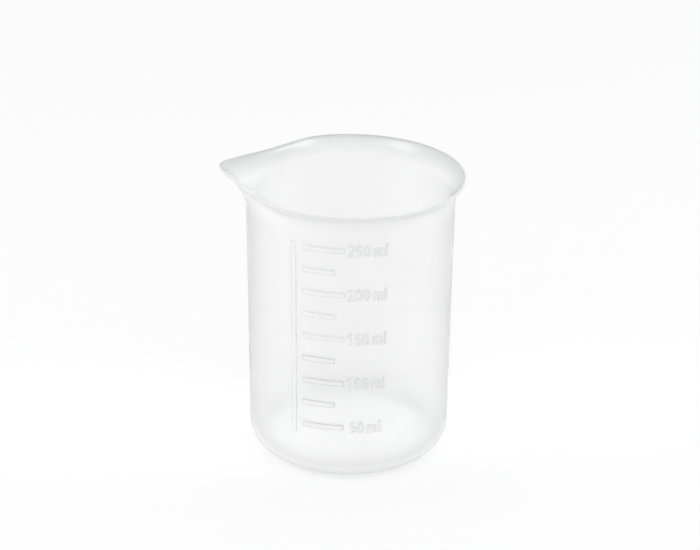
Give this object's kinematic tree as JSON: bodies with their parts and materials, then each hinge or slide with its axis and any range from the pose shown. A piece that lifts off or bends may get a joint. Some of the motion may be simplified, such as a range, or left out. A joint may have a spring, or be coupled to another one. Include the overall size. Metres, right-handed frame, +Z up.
{
  "type": "measuring beaker",
  "caption": "Translucent plastic measuring beaker with a round-cornered base, a flared rim, a pouring spout and a raised millilitre scale.",
  "frame": {"origin": "middle of the flat underside, on the vessel's axis, at the height of the table", "axes": "+Z up along the vessel's axis, -X towards the spout, -Y towards the scale"},
  "size_m": [0.0799, 0.074, 0.0961],
  "materials": {
    "vessel": "natural polypropylene, translucent, satin moulded surface",
    "scale": "natural polypropylene, translucent, raised in the mould"
  },
  "bodies": {
    "root": {"vessel": "vessel", "scale_rule": "scale", "mark_50": "scale", "mark_75": "scale", "mark_100": "scale", "mark_125": "scale", "mark_150": "scale", "mark_175": "scale", "mark_200": "scale", "mark_225": "scale", "mark_250": "scale", "label_50_figure_1": "scale", "label_50_figure_2": "scale", "label_50_letter_m": "scale", "label_50_letter_l": "scale", "label_100_figure_1": "scale", "label_100_figure_2": "scale", "label_100_figure_3": "scale", "label_100_letter_m": "scale", "label_100_letter_l": "scale", "label_150_figure_1": "scale", "label_150_figure_2": "scale", "label_150_figure_3": "scale", "label_150_letter_m": "scale", "label_150_letter_l": "scale", "label_200_figure_1": "scale", "label_200_figure_2": "scale", "label_200_figure_3": "scale", "label_200_letter_m": "scale", "label_200_letter_l": "scale", "label_250_figure_1": "scale", "label_250_figure_2": "scale", "label_250_figure_3": "scale", "label_250_letter_m": "scale", "label_250_letter_l": "scale"}
  },
  "joints": []
}
